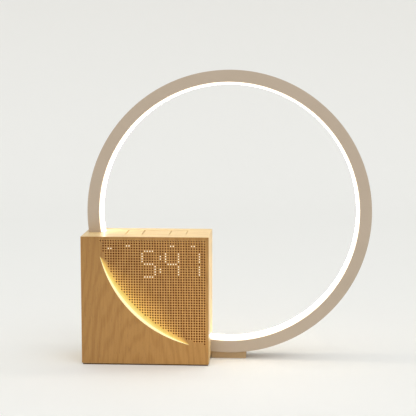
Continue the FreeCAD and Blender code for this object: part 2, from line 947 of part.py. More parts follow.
def make_back_cover():
    c = cover_play
    cover = block(in_left + c, in_right - c, cover_front, cover_back, in_bottom + c, in_top - c)
    y0 = main_board_back
    posts = [screw_rod(post_r, V(x, y0, z), V(x, cover_front, z)) for x, z in post_places()]
    cover = cover.fuse(posts)
    tools = [inlet_shape(inlet_play, main_board_front, back)]
    tools += screw_holes(post_places(), main_screw_r, y0 - overrun, y0 + main_screw_l)
    places = cover_screw_places().values()
    tools += screw_holes(places, cover_screw_r, cover_front - overrun, back)
    tools += screw_holes(places, cover_head_r, cover_back - cover_head_t, back)
    first = case_x - (vents - 1) / 2 * vent_pitch
    z1 = in_top - vent_below_top
    for i in range(vents):
        x = first + i * vent_pitch - vent_w / 2
        tools.append(block(x, x + vent_w, cover_front - overrun, back, z1 - vent_h, z1))
    return clean(cover.cut(Part.makeCompound(tools)))


def make_cover_screws():
    made = []
    seat = cover_back - cover_head_t
    for x, z in cover_screw_places().values():
        tip = V(x, cover_screw_tip + screw_play, z)
        made.append(screw(cover_screw_r, cover_head_r, cover_head_t, tip, V(x, seat, z)))
    return made


def make_main_board():
    x1 = main_x0 + main_board_w
    z1 = main_z0 + main_board_h
    board = block(main_x0, x1, main_board_front, main_board_back, main_z0, z1)
    y0 = main_board_front - overrun
    holes = screw_holes(post_places(), main_screw_r, y0, main_board_back + overrun)
    return board.cut(Part.makeCompound(holes))


def make_board_screws():
    tip = main_board_back + main_screw_l - screw_play
    return screws(post_places(), main_screw_r, tip, main_board_front)


def make_main_chips():
    """Controller, power chip, amplifier, coil and two film capacitors."""
    y = main_board_front
    made = []
    for dx, dz, w, h, t in chips:
        x = main_x0 + dx
        z = main_z0 + dz
        made.append(block(x, x + w, y - t, y, z, z + h))
    return made


def make_power_inlet():
    y0 = main_board_back
    y1 = cover_back - inlet_sink
    shell = inlet_shape(0, y0, y1)
    cavity = inlet_shape(-inlet_t, y1 - inlet_deep, y1 + overrun)
    half = inlet_tongue_w / 2
    t = inlet_tongue_t / 2
    tip = y1 - inlet_tongue_sink
    tongue = block(inlet_x - half, inlet_x + half, y0, tip, inlet_z - t, inlet_z + t)
    return clean(shell.cut(cavity).fuse(tongue))


def cell_place():
    x = main_x0 + main_board_w - cell_from_right - cell_r
    z = main_z0 + main_board_h - cell_from_top - cell_r
    return x, z


def make_cell_holder():
    """A square frame round the cell, closed towards the board."""
    x, z = cell_place()
    y0 = main_board_front - cell_clip_t - cell_t
    y1 = main_board_front
    r = cell_r + cell_play
    w = r + cell_wall
    frame = block(x - w, x + w, y0, y1, z - w, z + w)
    return frame.cut(block(x - r, x + r, y0 - overrun, y1 - cell_clip_t, z - r, z + r))


def make_backup_cell():
    x, z = cell_place()
    y1 = main_board_front - cell_clip_t
    return rod_y(cell_r, x, z, y1 - cell_t, y1)


def ribbon_place():
    return main_x0 + ribbon_from_left, main_z0 + main_board_h - socket_h


def make_ribbon():
    """The flat cable from the display board to the main board, and its two sockets."""
    x, z = ribbon_place()
    x0 = x - ribbon_w / 2
    y0 = display_board_back + socket_t
    y1 = main_board_front - socket_t
    y = (y0 + y1) / 2
    low = z - ribbon_t
    upper = Part.Arc(V(x0, y0, z), V(x0, y, z - ribbon_sag), V(x0, y1, z)).toShape()
    lower = Part.Arc(V(x0, y1, low), V(x0, y, low - ribbon_sag), V(x0, y0, low)).toShape()
    end0 = Part.makeLine(V(x0, y0, low), V(x0, y0, z))
    end1 = Part.makeLine(V(x0, y1, z), V(x0, y1, low))
    strip = Part.Face(Part.Wire([upper, end1, lower, end0])).extrude(V(ribbon_w, 0, 0))
    w = socket_w / 2
    h = socket_h / 2
    socket0 = block(x - w, x + w, display_board_back, y0, z - h, z + h)
    socket1 = block(x - w, x + w, y1, main_board_front, z - h, z + h)
    return strip, socket0, socket1


def make_base_pad():
    i = pad_inset
    return block(left + i, right - i, front + i, back - i, 0, pad_t)


def build():
    runs = display_runs()
    dots = [dot for run in runs for dot in run_dots(run)]
    dots += [dot for dot in speaker_dots() if dot not in dots]
    holes = [drill(column, row) for column, row in dots]
    save("case_shell", make_case_shell())
    save("front_panel", make_front_panel(holes))
    save("base_pad", make_base_pad())
    for name, (x0, x1) in key_spans().items():
        save(name, make_key(x0, x1))
    save("key_board", make_key_board())
    save("key_switches", *make_key_switches())
    save("key_hangers", *make_key_hangers())
    save("key_screws", *make_key_screws())
    save("ring_channel", make_ring_channel())
    save("ring_diffuser", make_ring_diffuser())
    tape, bead = make_ring_lights()
    save("ring_led_tape", tape)
    save("ring_led_bead", bead)
    save("ring_end_caps", *make_ring_caps())
    place = cover_screw_places()["top_left"]
    socket = make_socket(socket_block_top(place), ring_clear_top, ring_end_top, place)
    save("ring_socket_top", socket)
    place = cover_screw_places()["low_right"]
    socket = make_socket(socket_block_low(place), ring_clear_side, ring_end_low, place)
    save("ring_socket_low", socket)
    save("ring_grub_screws", *make_grubs())
    save("ring_foot", make_ring_foot())
    lens, arc_bead, arc_tape = make_arc_lights()
    save("arc_diffuser", lens)
    save("arc_led_bead", arc_bead)
    save("arc_led_tape", arc_tape)
    save("display_mask", make_display_mask(runs))
    save("display_board", make_display_board())
    save("display_leds", *make_display_chips(runs))
    save("display_screws", *make_display_screws())
    save("speaker_gasket", make_gasket())
    save("speaker_basket", make_basket())
    save("speaker_cone", make_cone())
    save("speaker_magnet", make_magnet())
    save("speaker_screws", *make_speaker_screws())
    save("back_cover", make_back_cover())
    save("cover_blocks", *make_cover_blocks())
    save("cover_screws", *make_cover_screws())
    save("main_board", make_main_board())
    save("main_chips", *make_main_chips())
    save("board_screws", *make_board_screws())
    save("power_inlet", make_power_inlet())
    save("cell_holder", make_cell_holder())
    save("backup_cell", make_backup_cell())
    strip, socket0, socket1 = make_ribbon()
    save("display_ribbon", strip)
    save("ribbon_sockets", socket0, socket1)


build()
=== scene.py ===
import math

import bmesh
import bpy
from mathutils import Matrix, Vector


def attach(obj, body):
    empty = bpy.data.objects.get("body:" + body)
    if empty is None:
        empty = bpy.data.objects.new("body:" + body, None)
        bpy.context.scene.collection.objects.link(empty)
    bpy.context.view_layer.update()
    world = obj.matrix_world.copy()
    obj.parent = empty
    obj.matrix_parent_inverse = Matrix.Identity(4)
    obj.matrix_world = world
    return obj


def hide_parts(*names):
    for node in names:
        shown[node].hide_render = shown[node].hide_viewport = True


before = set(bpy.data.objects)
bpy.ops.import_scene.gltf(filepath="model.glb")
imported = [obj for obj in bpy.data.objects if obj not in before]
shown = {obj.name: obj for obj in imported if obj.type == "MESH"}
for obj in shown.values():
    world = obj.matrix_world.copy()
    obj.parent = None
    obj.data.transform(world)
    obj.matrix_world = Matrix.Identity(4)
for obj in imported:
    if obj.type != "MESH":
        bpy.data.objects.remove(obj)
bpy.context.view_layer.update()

# View
# The photograph's viewpoint: a long lens a little above the clock and to the right of its
# case, turned back towards it. Metres and degrees.
looks_down, looks_left = 6.78, 3.34
camera = bpy.data.objects.new("camera", bpy.data.cameras.new("camera"))
bpy.context.scene.collection.objects.link(camera)
camera.location = (0.0393, -0.9400, 0.2335)
camera.rotation_euler = (math.radians(90 - looks_down), 0, math.radians(looks_left))
camera.data.sensor_width = 36
camera.data.lens = 103.76
bpy.context.scene.camera = camera
bpy.context.scene.view_settings.view_transform = "Standard"

# Studio
# A pale seamless paper that rises behind the clock, under a wide soft light from the upper
# right, a weaker one from the left and an even surround. Metres, with grain in millimetres.
MM = 0.001


def tone(code):
    """An sRGB hex value as linear colour."""
    parts = [int(code[i:i + 2], 16) / 255 for i in (0, 2, 4)]
    return (*[p / 12.92 if p <= 0.04045 else ((p + 0.055) / 1.055) ** 2.4 for p in parts], 1)


def add(tree, kind, inputs=None, **settings):
    """Add a node, set it up, and fill or link its sockets by name or number."""
    node = tree.nodes.new(kind)
    for name, value in settings.items():
        setattr(node, name, value)
    for name, value in (inputs or {}).items():
        if isinstance(value, bpy.types.NodeSocket):
            tree.links.new(value, node.inputs[name])
        else:
            node.inputs[name].default_value = value
    return node


def new_finish(name, **surface):
    """A material, its tree and its shader, with the fixed sockets set on the shader."""
    material = bpy.data.materials.new(name)
    material.use_nodes = True
    shader = material.node_tree.nodes["Principled BSDF"]
    for socket, value in surface.items():
        shader.inputs[socket.replace("_", " ")].default_value = value
    return material, material.node_tree, shader


def mesh_piece(name, points, faces, *finishes):
    """A new object in the scene, with its place in its mesh."""
    mesh = bpy.data.meshes.new(name)
    mesh.from_pydata(points, [], faces)
    for finish in finishes:
        mesh.materials.append(finish)
    piece = bpy.data.objects.new(name, mesh)
    bpy.context.scene.collection.objects.link(piece)
    return piece


# Matt uncoated paper: an even pale sheet with a faint tooth, and a painted shade that makes it a
# little darker higher up
shade_painted_up_to = 0.35
paper, tree, shader = new_finish("seamless paper", Roughness=0.9, Specular_IOR_Level=0.1)
place = add(tree, "ShaderNodeTexCoord").outputs["Object"]
height = add(tree, "ShaderNodeSeparateXYZ", {0: place}).outputs["Z"]
painted_shade_higher = add(tree, "ShaderNodeMapRange", {"Value": height, "From Max": shade_painted_up_to}).outputs[0]
colour = add(
    tree, "ShaderNodeMix", {"Factor": painted_shade_higher, "A": tone("F3F4F3"), "B": tone("ECECEA")},
    data_type="RGBA")
fibre = add(tree, "ShaderNodeTexNoise", {"Vector": place, "Scale": 1 / (1.11 * MM), "Detail": 3.0})
bump = add(
    tree, "ShaderNodeBump",
    {"Height": fibre.outputs["Fac"], "Strength": 0.1, "Distance": 0.05 * MM})
tree.links.new(colour.outputs["Result"], shader.inputs["Base Color"])
tree.links.new(bump.outputs["Normal"], shader.inputs["Normal"])
half_sheet, sheet_near, bend_start, bend_r, sheet_top = 3.5, -3.0, 0.9, 0.7, 3.5
bend_steps = 16
rise = [(sheet_near, 0.0), (bend_start, 0.0)]
for i in range(1, bend_steps + 1):
    turn = math.radians(90 * i / bend_steps)
    rise.append((bend_start + bend_r * math.sin(turn), bend_r - bend_r * math.cos(turn)))
rise.append((bend_start + bend_r, sheet_top))
points = [(x, y, z) for y, z in rise for x in (-half_sheet, half_sheet)]
faces = [(2 * i, 2 * i + 1, 2 * i + 3, 2 * i + 2) for i in range(len(rise) - 1)]
seamless_sheet = mesh_piece("seamless_sheet", points, faces, paper)
for face in seamless_sheet.data.polygons:
    face.use_smooth = True

# The surround is a little darker where the camera, metal or glass sees it than as a light
surround_light, surround_seen = 0.90, 0.86
surround = bpy.data.worlds.new("surround")
surround.use_nodes = True
bpy.context.scene.world = surround
tree = surround.node_tree
path = add(tree, "ShaderNodeLightPath").outputs
seen = path["Is Camera Ray"]
for ray in ("Is Glossy Ray", "Is Transmission Ray"):
    seen = add(tree, "ShaderNodeMath", {0: seen, 1: path[ray]}, operation="MAXIMUM").outputs[0]
strength = add(
    tree, "ShaderNodeMapRange",
    {"Value": seen, "To Min": surround_light, "To Max": surround_seen})
light = tree.nodes["Background"]
light.inputs["Color"].default_value = tone("FCFBF8")
tree.links.new(strength.outputs["Result"], light.inputs["Strength"])

for name, spot, aim, size, power in (
    ("soft_key", (1.3, -2.1, 2.6), (-0.05, 0, 0.1), 2.3, 15.0),
    ("soft_fill", (-2.1, -1.9, 2.0), (0, 0, 0.1), 2.3, 8.0),
):
    lamp = bpy.data.objects.new(name, bpy.data.lights.new(name, "AREA"))
    bpy.context.scene.collection.objects.link(lamp)
    lamp.data.size = size
    lamp.data.energy = power
    lamp.location = spot
    lamp.rotation_euler = (Vector(aim) - Vector(spot)).to_track_quat("-Z", "Y").to_euler()

# Case
# Four beech boards, 4 mm thick, mitred and glued at the corners and cut out for the ring and
# the keys. Planed, sanded and oiled. The arrises are eased by hand. Millimetres from here on.
left, right, bottom, top = -113.5, -13.5, 1.1, 101.6
front = -25.0
case_arris = 0.35
hair = 0.01


def settle(piece):
    """Keep the result of a piece's modifiers as its plain mesh."""
    finished = piece.evaluated_get(bpy.context.evaluated_depsgraph_get())
    result = bpy.data.meshes.new_from_object(finished)
    piece.modifiers.clear()
    piece.data = result


def shade_by_angle(piece, degrees=30):
    """Turn the faces outward, and shade smoothly across edges flatter than the angle."""
    work = bmesh.new()
    work.from_mesh(piece.data)
    bmesh.ops.recalc_face_normals(work, faces=work.faces)
    for face in work.faces:
        face.smooth = True
    for edge in work.edges:
        flat = edge.calc_face_angle(0) < math.radians(degrees)
        edge.smooth = len(edge.link_faces) == 2 and flat
    work.to_mesh(piece.data)
    work.free()
    piece.modifiers.new("flat faces stay flat", "WEIGHTED_NORMAL").keep_sharp = True
    settle(piece)


def oiled_beech(name, along, heart, pith, pale, dark):
    """Beech with its grain along one axis: growth rings, fibres, pores and a soft oil shine.

    The tree's pith is a line through the point heart, in mm, in the direction pith."""
    ring_gap, waver = 4, 24.0
    material, tree, shader = new_finish(name)
    place = add(tree, "ShaderNodeTexCoord").outputs["Object"]

    def grain(across, length, detail):
        """A noise of streaks, with their width and length in mm."""
        scale = [1 / (across * MM)] * 3
        scale["XYZ".index(along)] = 1 / (length * MM)
        drawn = add(tree, "ShaderNodeMapping", {"Vector": place, "Scale": scale}).outputs[0]
        noise = add(tree, "ShaderNodeTexNoise", {"Vector": drawn, "Detail": detail, "Scale": 1.0})
        return noise.outputs["Fac"]

    # Growth rings are wavering shells round the pith
    out = add(
        tree, "ShaderNodeVectorMath", {0: place, 1: [v * MM for v in heart]},
        operation="SUBTRACT")
    out = add(
        tree, "ShaderNodeVectorMath", {0: out.outputs[0], 1: Vector(pith).normalized()},
        operation="CROSS_PRODUCT")
    out = add(tree, "ShaderNodeVectorMath", {0: out.outputs[0]}, operation="LENGTH")
    slow = grain(18, 110, 3.0)
    slow = add(tree, "ShaderNodeMath", {0: slow, 1: waver}, operation="MULTIPLY")
    turns = add(
        tree, "ShaderNodeMath",
        {0: out.outputs["Value"], 1: 2 * math.pi / (ring_gap * MM), 2: slow.outputs[0]},
        operation="MULTIPLY_ADD")
    rings = add(tree, "ShaderNodeMath", {0: turns.outputs[0]}, operation="SINE")
    # Fibres are drawn 0.9 mm wide so that they show
    fibres = grain(0.9, 26, 4.0)
    pores = grain(0.45, 3.5, 1.0)
    ring_part = add(
        tree, "ShaderNodeMapRange", {
            "Value": rings.outputs[0], "From Min": -1.0, "From Max": 0.2,
            "To Min": 0.16, "To Max": 0.5})
    fibre_part = add(
        tree, "ShaderNodeMapRange",
        {"Value": fibres, "From Min": 0.3, "From Max": 0.7, "To Min": 0.0, "To Max": 0.5})
    both = add(
        tree, "ShaderNodeMath", {0: ring_part.outputs[0], 1: fibre_part.outputs[0]},
        operation="ADD")
    colour = add(
        tree, "ShaderNodeMix", {"Factor": both.outputs[0], "A": tone(dark), "B": tone(pale)},
        data_type="RGBA")
    flecks = add(
        tree, "ShaderNodeMapRange",
        {"Value": pores, "From Min": 0.62, "From Max": 0.75, "To Min": 0.0, "To Max": 0.45})
    flecked = add(
        tree, "ShaderNodeMix",
        {"Factor": flecks.outputs[0], "A": colour.outputs["Result"], "B": tone("8A6136")},
        data_type="RGBA")
    rough = add(tree, "ShaderNodeMapRange", {"Value": fibres, "To Min": 0.32, "To Max": 0.46})
    bump = add(
        tree, "ShaderNodeBump", {"Height": fibres, "Strength": 0.25, "Distance": 0.08 * MM})
    tree.links.new(flecked.outputs["Result"], shader.inputs["Base Color"])
    tree.links.new(rough.outputs["Result"], shader.inputs["Roughness"])
    tree.links.new(bump.outputs["Normal"], shader.inputs["Normal"])
    return material, tree, shader


def merged_copy(node, name):
    """A copy of a CAD node with its loose triangles joined and its flat faces made whole."""
    work = bmesh.new()
    work.from_mesh(shown[node].data)
    bmesh.ops.remove_doubles(work, verts=work.verts, dist=hair * MM)
    bmesh.ops.dissolve_limit(
        work, angle_limit=math.radians(0.5), verts=work.verts, edges=work.edges)
    piece = mesh_piece(name, [], [])
    work.to_mesh(piece.data)
    work.free()
    return piece


def ease_arrises(piece, width, segments=3, sharper_than=60, outer_only=False):
    """Round every sharp edge by a small width, or only those at the piece's outermost corners."""
    work = bmesh.new()
    work.from_mesh(piece.data)
    bmesh.ops.recalc_face_normals(work, faces=work.faces)
    sharp = [
        edge for edge in work.edges
        if len(edge.link_faces) == 2 and edge.calc_face_angle(0) > math.radians(sharper_than)]
    if outer_only:
        reach = [[v.co[i] for v in work.verts] for i in range(3)]
        ends = [(i, end) for i in range(3) for end in (min(reach[i]), max(reach[i]))]
        sharp = [edge for edge in sharp if sum(
            all(abs(v.co[i] - end) < hair * MM for v in edge.verts) for i, end in ends) == 2]
    bmesh.ops.bevel(
        work, geom=sharp, offset=width * MM, segments=segments, profile=0.5, affect="EDGES",
        clamp_overlap=True)
    work.to_mesh(piece.data)
    work.free()


# Oiled beech: an even warm wood with faint growth rings, short darker flecks and a low shine.
# The level boards are painted a shade paler than the upright ones, as painted light from the
# ring's glow and the sheen on the top
beech_upright = oiled_beech(
    "oiled beech, grain upright", "Z", (-60, 0, 0), (0, 0.15, 1), "DDBF87", "CCA76D")[0]
beech_level_painted_light = oiled_beech(
    "oiled beech, grain level, painted light", "X", (-60, 0, 60), (1, 0, 0.1), "E2C792", "D2B078")[0]
case_boards = merged_copy("case_shell", "case_boards")
ease_arrises(case_boards, case_arris, outer_only=True)
case_boards.data.materials.append(beech_upright)
case_boards.data.materials.append(beech_level_painted_light)
middle_x, middle_z = (left + right) / 2 * MM, (top + bottom) / 2 * MM
# Faces nearer the top or bottom than the sides take the level copy, painted paler as painted light
for face in case_boards.data.polygons:
    on_level_board = abs(face.center.z - middle_z) > abs(face.center.x - middle_x)
    face.material_index = int(on_level_board)
shade_by_angle(case_boards, 35)
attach(case_boards, "case")
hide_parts("case_shell")

# Front
# One beech board, mitred into the case on all four edges. A crescent is milled down to a slope
# along an arc, and nearly 1,200 holes are drilled on a square grid.
panel_t, front_arris = 4.0, 0.3
arc_x, arc_z, arc_r = -7.1, 108.0, 93.8
arc_middle, arc_half = math.radians(225.1), math.radians(31.7)
chord_r = arc_r * math.cos(arc_half)
recess_deep, floor_t, boss_rim = 2.6, 3.0, 3.0
slope = recess_deep / (arc_r - chord_r)
arc_steps = 160
lamp_w, lamp_half, lens_t = 1.75, 28.5, 1.6
tape_reach, tape_half = 2.65, 29.0
mouth_near, slot_far, seat_far = -0.4, 6.0, 8.0
overrun, overlap, boss_sink = 1.0, 0.1, 2.0
pitch, columns, rows = 2.0261, 42, 41
first_x, first_z = -99.82, 98.5
grille_x, grille_z, grille_r = 2.0, 117.25, 101.6
hole_d, hole_sides = 1.04, 12
drill_l, drill_middle = 18.0, 6.0


def crescent_block(name, radius, near_y, behind, *finishes):
    """The space over the sloped floor out to a radius, from near_y to the floor moved back."""
    half = math.acos(chord_r / radius)
    rim = []
    for i in range(arc_steps + 1):
        a = arc_middle - half + 2 * half * i / arc_steps
        y = front + slope * (radius * math.cos(a - arc_middle) - chord_r) + behind
        rim.append((arc_x + radius * math.cos(a), y, arc_z + radius * math.sin(a)))
    points = [(x * MM, near_y * MM, z * MM) for x, y, z in rim]
    points += [(x * MM, y * MM, z * MM) for x, y, z in rim]
    count = len(rim)
    faces = [tuple(range(count)), tuple(reversed(range(count, 2 * count)))]
    faces += [(i, (i + 1) % count, count + (i + 1) % count, count + i) for i in range(count)]
    piece = mesh_piece(name, points, faces, *finishes)
    shade_by_angle(piece)
    return piece


def taper(turn, play=0.0):
    """The inner radius of the light's slot at an angle from its middle: a flatter arc."""
    sag = arc_r - chord_r - lamp_w
    flat_r = (chord_r * math.tan(arc_half)) ** 2 / (2 * sag) + sag / 2
    shift = flat_r - arc_r + lamp_w
    far = math.sqrt((flat_r + play) ** 2 - (shift * math.sin(turn)) ** 2)
    return far - shift * math.cos(turn)


def arc_block(name, inner, outer, half, near, far, *finishes):
    """A bar along the arc whose near and far faces follow the sloped floor."""
    points = []
    for i in range(arc_steps + 1):
        turn = math.radians(half) * (2 * i / arc_steps - 1)
        a = arc_middle + turn
        inside = inner(turn) if callable(inner) else inner
        for radius, behind in ((inside, near), (outer, near), (outer, far), (inside, far)):
            x, z = arc_x + radius * math.cos(a), arc_z + radius * math.sin(a)
            y = front + slope * (radius * math.cos(turn) - chord_r) + behind
            points.append((x * MM, y * MM, z * MM))
    faces = [(0, 1, 2, 3), tuple(4 * arc_steps + j for j in (3, 2, 1, 0))]
    for i in range(arc_steps):
        for j in range(4):
            k = (j + 1) % 4
            faces.append((4 * i + j, 4 * i + k, 4 * i + 4 + k, 4 * i + 4 + j))
    piece = mesh_piece(name, points, faces, *finishes)
    shade_by_angle(piece)
    return piece


def combine(piece, *steps):
    """Join or cut closed meshes in turn, keep the result as a plain mesh and delete the tools."""
    for operation, tool in steps:
        change = piece.modifiers.new(tool.name, "BOOLEAN")
        change.operation = operation
        change.object = tool
        change.solver = "MANIFOLD"
        change.material_mode = "TRANSFER"
    settle(piece)
    for operation, tool in steps:
        bpy.data.objects.remove(tool)


# The crescent's light on the wood, painted into the wood's own finish as a glow: pale yellow at
# the arc, fading to amber across the slope and the first holes. It reaches as far as the recess is
# deep there, so it is narrow at both tips
glow_l, spill, least_width, tip_fade = 26.0, 0.1, 0.02, 0.06


def arc_light(tree, stops):
    """The light's colour by the distance from the arc, in mm at the middle, and its strength."""
    place = add(tree, "ShaderNodeTexCoord").outputs["Object"]
    level = add(tree, "ShaderNodeVectorMath", {0: place, 1: (1, 0, 1)}, operation="MULTIPLY")
    spoke = add(
        tree, "ShaderNodeVectorMath", {0: level.outputs[0], 1: (arc_x * MM, 0, arc_z * MM)},
        operation="SUBTRACT").outputs[0]
    reach = add(
        tree, "ShaderNodeVectorMath", {0: spoke}, operation="LENGTH").outputs["Value"]
    middle = (math.cos(arc_middle), 0, math.sin(arc_middle))
    along = add(
        tree, "ShaderNodeVectorMath", {0: spoke, 1: middle},
        operation="DOT_PRODUCT").outputs["Value"]
    straight = add(tree, "ShaderNodeMath", {0: along, 1: reach}, operation="DIVIDE").outputs[0]
    deep = add(
        tree, "ShaderNodeMapRange",
        {"Value": straight, "From Min": math.cos(arc_half), "From Max": 1.0}).outputs[0]
    off = add(tree, "ShaderNodeMath", {0: arc_r * MM, 1: reach}, operation="SUBTRACT").outputs[0]
    share = add(tree, "ShaderNodeMath", {0: off, 1: glow_l * MM}, operation="DIVIDE").outputs[0]
    width = add(tree, "ShaderNodeMath", {0: deep, 1: least_width}, operation="MAXIMUM").outputs[0]
    share = add(tree, "ShaderNodeMath", {0: share, 1: width}, operation="DIVIDE").outputs[0]
    ramp = add(tree, "ShaderNodeValToRGB", {"Fac": share})
    for off_arc, light in stops:
        ramp.color_ramp.elements.new(off_arc / glow_l).color = (*light, 1)
    ramp.color_ramp.elements[0].color = (*stops[0][1], 1)
    ramp.color_ramp.elements[-1].color = (0, 0, 0, 1)
    inside = add(tree, "ShaderNodeMath", {0: off, 1: -spill * MM}, operation="GREATER_THAN")
    tips = add(tree, "ShaderNodeMapRange", {"Value": deep, "From Max": tip_fade})
    power = add(
        tree, "ShaderNodeMath", {0: inside.outputs[0], 1: tips.outputs[0]},
        operation="MULTIPLY").outputs[0]
    return ramp.outputs["Color"], power


# Oiled beech, a browner board than the case's. Each hole's rim is painted darker, a painted shade
# at the mouth of the hole, and the web between the holes is painted paler, a painted sheen
front_beech, tree, shader = oiled_beech(
    "oiled beech, front", "Z", (-66, 6, 0), (0, 0.18, 1), "B68746", "9D6C2F")
place = add(tree, "ShaderNodeTexCoord").outputs["Object"]
first_hole = (first_x * MM, 0, first_z * MM)
cell = add(tree, "ShaderNodeVectorMath", {0: place, 1: first_hole}, operation="SUBTRACT")
cell = add(
    tree, "ShaderNodeVectorMath",
    {0: cell.outputs[0], 1: (1 / (pitch * MM), 0, 1 / (pitch * MM))}, operation="MULTIPLY")
nearest = add(
    tree, "ShaderNodeVectorMath", {0: cell.outputs[0], 1: (0.5, 0, 0.5)}, operation="ADD")
nearest = add(
    tree, "ShaderNodeVectorMath", {0: nearest.outputs[0]}, operation="FLOOR").outputs[0]
off_hole = add(
    tree, "ShaderNodeVectorMath", {0: cell.outputs[0], 1: nearest}, operation="DISTANCE")
# Painted shade darkens the face round each hole's mouth; a painted sheen pales the web between
# holes
rim = add(tree, "ShaderNodeValToRGB", {"Fac": off_hole.outputs["Value"]})
for off_middle, shade in (
    (0.26, (0.50, 0.30, 0.12, 1)), (0.36, (0.85, 0.72, 0.55, 1)), (0.46, (1.32, 1.32, 1.34, 1)),
):
    rim.color_ramp.elements.new(off_middle).color = shade
rim.color_ramp.elements[0].color = (0.50, 0.30, 0.12, 1)
rim.color_ramp.elements[-1].color = (1.55, 1.56, 1.64, 1)
kept = add(
    tree, "ShaderNodeVectorMath", {0: nearest, 1: (0, 0, 1 - rows)}, operation="MAXIMUM")
kept = add(
    tree, "ShaderNodeVectorMath", {0: kept.outputs[0], 1: (columns - 1, 0, 0)},
    operation="MINIMUM")
kept = add(
    tree, "ShaderNodeVectorMath", {0: kept.outputs[0], 1: nearest}, operation="DISTANCE")
in_block = add(tree, "ShaderNodeMath", {0: kept.outputs["Value"], 1: 0.5}, operation="LESS_THAN")
centre = ((grille_x - first_x) / pitch, 0, (grille_z - first_z) / pitch)
reach = add(tree, "ShaderNodeVectorMath", {0: nearest, 1: centre}, operation="DISTANCE")
in_circle = add(
    tree, "ShaderNodeMath", {0: reach.outputs["Value"], 1: grille_r / pitch},
    operation="LESS_THAN")
drilled = add(
    tree, "ShaderNodeMath", {0: in_block.outputs[0], 1: in_circle.outputs[0]},
    operation="MULTIPLY")
rim = add(
    tree, "ShaderNodeMix",
    {"Factor": drilled.outputs[0], "A": (1, 1, 1, 1), "B": rim.outputs["Color"]},
    data_type="RGBA").outputs["Result"]
wood = shader.inputs["Base Color"].links[0].from_socket
wood = add(tree, "ShaderNodeVectorMath", {0: wood, 1: rim}, operation="MULTIPLY")
# The board is a little paler towards its lower right
pale_z, pale_reach = 30, 110
pale_spot = (right * MM, front * MM, pale_z * MM)
far = add(tree, "ShaderNodeVectorMath", {0: place, 1: pale_spot}, operation="DISTANCE")
paler = add(
    tree, "ShaderNodeMapRange",
    {"Value": far.outputs["Value"], "From Max": pale_reach * MM, "To Min": 1.15, "To Max": 0.88})
wood = add(
    tree, "ShaderNodeVectorMath", {0: wood.outputs[0], "Scale": paler.outputs[0]},
    operation="SCALE")
tree.links.new(wood.outputs[0], shader.inputs["Base Color"])
# The front's wood glows with painted light from the crescent
colour, power = arc_light(tree, (
    (0.0, (0.60, 0.70, 0.44)), (0.5, (0.58, 0.68, 0.40)), (2.0, (0.55, 0.55, 0.24)),
    (3.0, (0.53, 0.51, 0.16)), (4.0, (0.48, 0.45, 0.10)), (5.0, (0.46, 0.37, 0.068)),
    (6.5, (0.46, 0.32, 0.062)), (8.0, (0.42, 0.28, 0.055)), (9.5, (0.31, 0.20, 0.04)),
    (12.0, (0.25, 0.15, 0.028)), (15.0, (0.17, 0.10, 0.02)), (18.0, (0.10, 0.06, 0.01)),
    (22.0, (0.04, 0.024, 0.003)),
))
# The wood's painted glow is dimmed by the painted shade round the holes
hole_mouth_shade = add(tree, "ShaderNodeVectorMath", {0: rim, 1: (1, 1, 1)}, operation="MINIMUM")
colour = add(
    tree, "ShaderNodeVectorMath", {0: colour, 1: hole_mouth_shade.outputs[0]}, operation="MULTIPLY")
tree.links.new(colour.outputs[0], shader.inputs["Emission Color"])
tree.links.new(power, shader.inputs["Emission Strength"])


def mottled(name, dark, pale, grain, detail=2.0, relief=None, **surface):
    """A finish whose colour drifts between two tones over a grain in mm, and that drift.

    A relief is the strength and the depth in mm of bumps with the same grain."""
    material, tree, shader = new_finish(name, **surface)
    place = add(tree, "ShaderNodeTexCoord").outputs["Object"]
    drift = add(
        tree, "ShaderNodeTexNoise",
        {"Vector": place, "Scale": 1 / (grain * MM), "Detail": detail}).outputs["Fac"]
    colour = add(
        tree, "ShaderNodeMix", {"Factor": drift, "A": tone(dark), "B": tone(pale)},
        data_type="RGBA")
    tree.links.new(colour.outputs["Result"], shader.inputs["Base Color"])
    if relief:
        bump = add(
            tree, "ShaderNodeBump",
            {"Height": drift, "Strength": relief[0], "Distance": relief[1] * MM})
        tree.links.new(bump.outputs["Normal"], shader.inputs["Normal"])
    return material, tree, shader, drift


# Drilled wood: scorched reddish brown, rougher than the planed face and without its shine
drilled_beech = mottled(
    "drilled beech", "5C2C08", "7C4414", 0.4, Roughness=0.9, Specular_IOR_Level=0.0)[0]

# The drill's path: a grid of thin many-sided rods, kept within a circle that follows the ring
holes_tree = tree = bpy.data.node_groups.new("drilled holes", "GeometryNodeTree")
tree.interface.new_socket("Geometry", in_out="INPUT", socket_type="NodeSocketGeometry")
sockets = {}
for label, kind in (
    ("Pitch", "Float"), ("Columns", "Int"), ("Rows", "Int"), ("First Hole", "Vector"),
    ("Centre", "Vector"), ("Limit", "Float"), ("Diameter", "Float"), ("Depth", "Float"),
    ("Sides", "Int"), ("Finish", "Material"),
):
    socket = tree.interface.new_socket(label, in_out="INPUT", socket_type="NodeSocket" + kind)
    sockets[label] = socket.identifier
tree.interface.new_socket("Geometry", in_out="OUTPUT", socket_type="NodeSocketGeometry")
given = add(tree, "NodeGroupInput").outputs
index = add(tree, "GeometryNodeInputIndex").outputs[0]
total = add(
    tree, "ShaderNodeMath", {0: given["Columns"], 1: given["Rows"]}, operation="MULTIPLY")
line = add(tree, "GeometryNodeMeshLine", {"Count": total.outputs[0], "Offset": (0, 0, 0)})
row = add(tree, "ShaderNodeMath", {0: index, 1: given["Columns"]}, operation="DIVIDE")
row = add(tree, "ShaderNodeMath", {0: row.outputs[0]}, operation="FLOOR")
column = add(tree, "ShaderNodeMath", {0: index, 1: given["Columns"]}, operation="MODULO")
step_x = add(
    tree, "ShaderNodeMath", {0: column.outputs[0], 1: given["Pitch"]}, operation="MULTIPLY")
step_z = add(
    tree, "ShaderNodeMath", {0: row.outputs[0], 1: given["Pitch"]}, operation="MULTIPLY")
